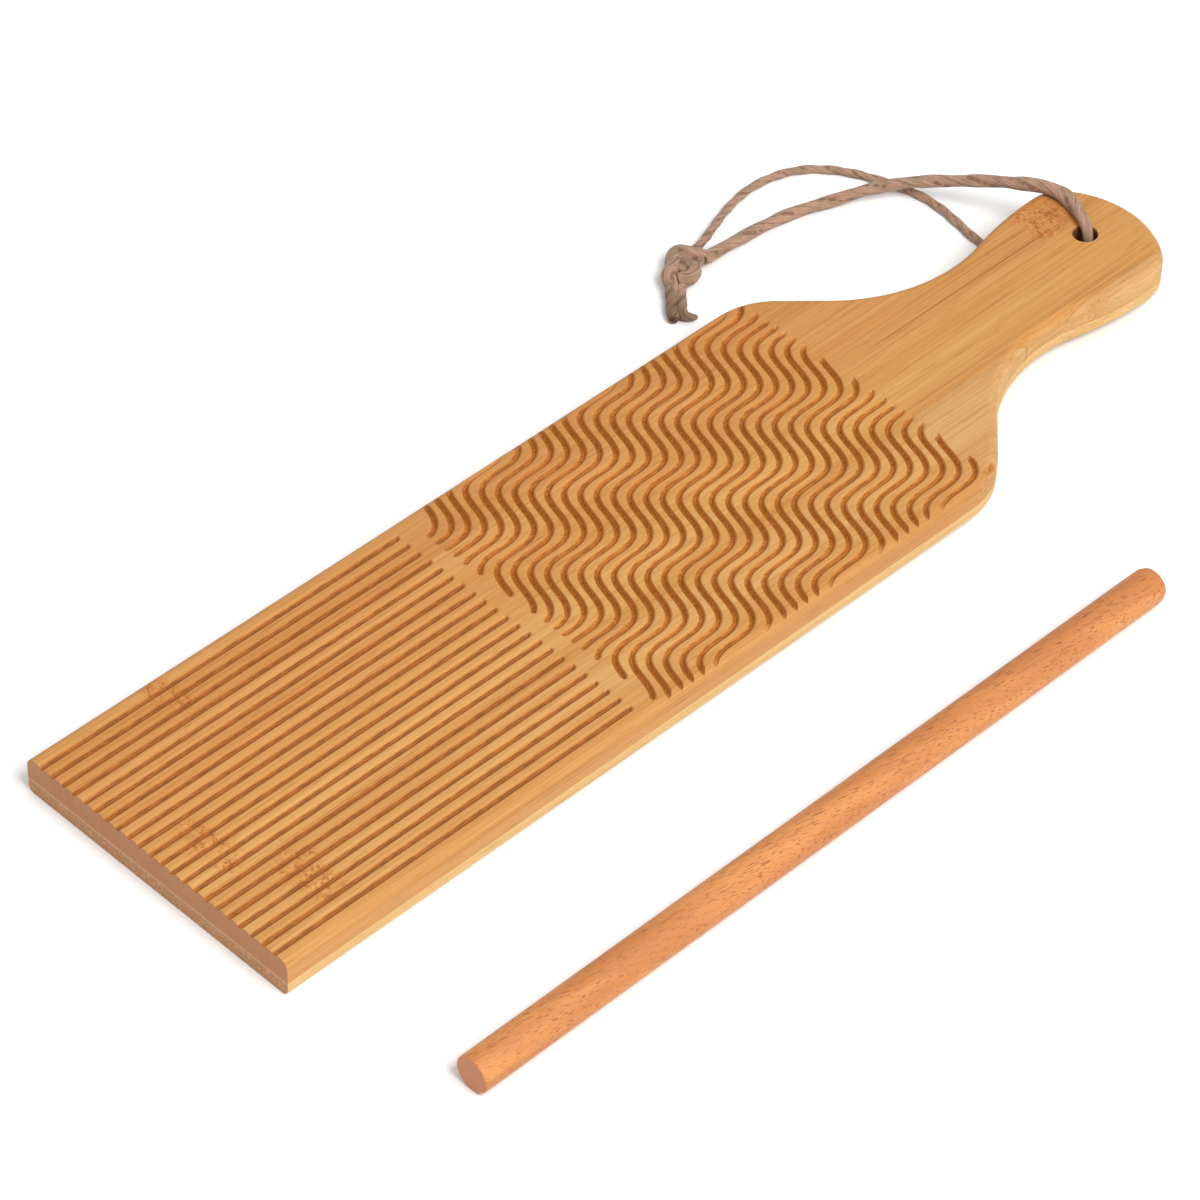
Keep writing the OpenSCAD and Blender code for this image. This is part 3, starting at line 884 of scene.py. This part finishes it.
def smooth_path(route, step):
    """Evenly spaced points on a smooth curve through a route."""
    p = np.array(route, float)
    p = np.concatenate([[2 * p[0] - p[1]], p, [2 * p[-1] - p[-2]]])
    t = np.linspace(0, 1, 12, endpoint=False)[:, None]
    out = []
    for a, b, c, d in zip(p, p[1:], p[2:], p[3:]):
        out.append(b + t * (c - a) / 2 + t ** 2 * (a - 2.5 * b + 2 * c - d / 2)
                   + t ** 3 * (1.5 * (b - c) + (d - a) / 2))
    out = np.concatenate(out + [p[-2:-1]])
    far = np.concatenate([[0], np.cumsum(np.linalg.norm(np.diff(out, axis=0), axis=1))])
    at = np.linspace(0, far[-1], max(2, round(far[-1] / step)) + 1)
    return np.stack([np.interp(at, far, out[:, c]) for c in range(3)], 1), at


def frames(path):
    """Two directions square to the path at each point, with no twist between points."""
    d = np.gradient(path, axis=0)
    d /= np.linalg.norm(d, axis=1)[:, None]
    e = np.cross(d[0], (0, 0, 1.0) if abs(d[0][2]) < 0.9 else (0, 1.0, 0))
    side_dirs = []
    for row in d:
        e = e - row * np.dot(row, e)
        e /= np.linalg.norm(e)
        side_dirs.append(e)
    e = np.array(side_dirs)
    return e, np.cross(d, e)


def twisted(name, route, radii, lay=TIGHT_LAY, full=TIGHT_FULL, turn=0.0):
    """Twine of two plies laid along a route. The fuller the plies, the smoother the twine."""
    path, far = smooth_path(route, TWINE_STEP)
    e, u = frames(path)
    r = np.interp(far / far[-1], *radii)
    verts, faces, uvs = [], [], []
    for ply in range(PLIES):
        wind = 2 * math.pi * (far / lay + ply / PLIES) + turn
        for k, c in enumerate(path):
            own = r[k] * full
            mid = c + (r[k] - own) * (math.cos(wind[k]) * e[k] + math.sin(wind[k]) * u[k])
            for j in range(PLY_SIDES):
                b = 2 * math.pi * j / PLY_SIDES
                a = b + wind[k]
                fat = own * (1 + 0.025 * math.cos(3 * b + ply) + 0.02 * math.cos(5 * b + 2.1))
                verts.append(mid + fat * (math.cos(a) * e[k] + math.sin(a) * u[k]))
                uvs.append((far[k], j / PLY_SIDES * 2))
        base = ply * len(path) * PLY_SIDES
        for k in range(len(path) - 1):
            for j in range(PLY_SIDES):
                a = base + k * PLY_SIDES + j
                b = base + k * PLY_SIDES + (j + 1) % PLY_SIDES
                faces.append([a, b, b + PLY_SIDES, a + PLY_SIDES])
        faces.append([base + j for j in range(PLY_SIDES)][::-1])
        faces.append([base + (len(path) - 1) * PLY_SIDES + j for j in range(PLY_SIDES)])
    verts = np.array(verts)
    verts[:, 2] = np.maximum(verts[:, 2], 0.0)
    made = new_object(name, verts, faces, ROW_FROM_TABLE)
    layer = made.data.uv_layers.new(name="lay")
    for loop in made.data.loops:
        layer.data[loop.index].uv = uvs[loop.vertex_index]
    fix_normals(made)
    for f in made.data.polygons:
        f.use_smooth = True
    return made, path, far[-1]


def make_cords():
    material = jute("jute")
    far_cord, far_path, far_l = twisted("twine_far", UNDER_ROUTE + FAR_ROUTE[1:], FAR_RADII)
    near_cord, near_path, near_l = twisted("twine_near", NEAR_ROUTE, NEAR_RADII,
                                           LOOSE_LAY, LOOSE_FULL, 1.0)
    knot = [
        twisted("twine_knot", KNOT_ROUTE, KNOT_RADII, LOOSE_LAY, LOOSE_FULL, 0.5)[0],
        twisted("twine_knot_tuck", KNOT_TUCK, TUCK_RADII, LOOSE_LAY, LOOSE_FULL, 1.4)[0],
    ]
    tails = [
        twisted("twine_tail_left", TAIL_LEFT, TAIL_RADII, TIGHT_LAY, LOOSE_FULL, 2.0)[0],
        twisted("twine_tail_right", TAIL_RIGHT, HOOK_RADII, TIGHT_LAY, LOOSE_FULL, 0.4)[0],
    ]
    for piece in (far_cord, near_cord, *knot, *tails):
        wear(piece, material)
        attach(piece, "board")
    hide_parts("cord_under_handle", "cord_far_strand")
    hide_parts("cord_near_strand")
    for piece in knot:
        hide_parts("cord_knot")
    for piece in tails:
        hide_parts("cord_tails")


# Stage

FLOOR_COLOR = (0.93, 0.93, 0.925)
FLOOR_REACH = 4000
KEY_AT = (-0.1, -1.0, 1.4)
KEY_POWER = 26.0
KEY_SIZE = 0.8
FILL_STRENGTH = 0.68


def make_stage():
    r = FLOOR_REACH
    corners = [(-r, -r, 0), (r, -r, 0), (r, r, 0), (-r, r, 0)]
    floor = new_object("floor", corners, [[0, 1, 2, 3]], Matrix())
    g = Graph("floor")
    shader = g.node("ShaderNodeBsdfPrincipled")
    g.put(shader.inputs["Base Color"], (*FLOOR_COLOR, 1.0))
    g.put(shader.inputs["Roughness"], 0.8)
    g.put(shader.inputs["Specular IOR Level"], 0.1)
    g.tree.links.new(shader.outputs[0], g.out.inputs["Surface"])
    wear(floor, g.material)


def make_light():
    data = bpy.data.lights.new("key", "AREA")
    data.energy = KEY_POWER
    data.shape = "SQUARE"
    data.size = KEY_SIZE
    key = bpy.data.objects.new("key", data)
    key.location = KEY_AT
    key.rotation_euler = (-Vector(KEY_AT)).to_track_quat("-Z", "Y").to_euler()
    bpy.context.scene.collection.objects.link(key)
    world = bpy.data.worlds.new("studio")
    world.use_nodes = True
    world.node_tree.nodes["Background"].inputs["Color"].default_value = (1.0, 1.0, 1.0, 1.0)
    world.node_tree.nodes["Background"].inputs["Strength"].default_value = FILL_STRENGTH
    bpy.context.scene.world = world
    bpy.context.scene.view_settings.view_transform = "Standard"


def make_dowel():
    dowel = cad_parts["dowel"]
    material = beech("beech")
    for slot in dowel.material_slots:
        slot.material = material


make_camera()
make_cords()
make_stage()
make_light()
make_board()
make_dowel()
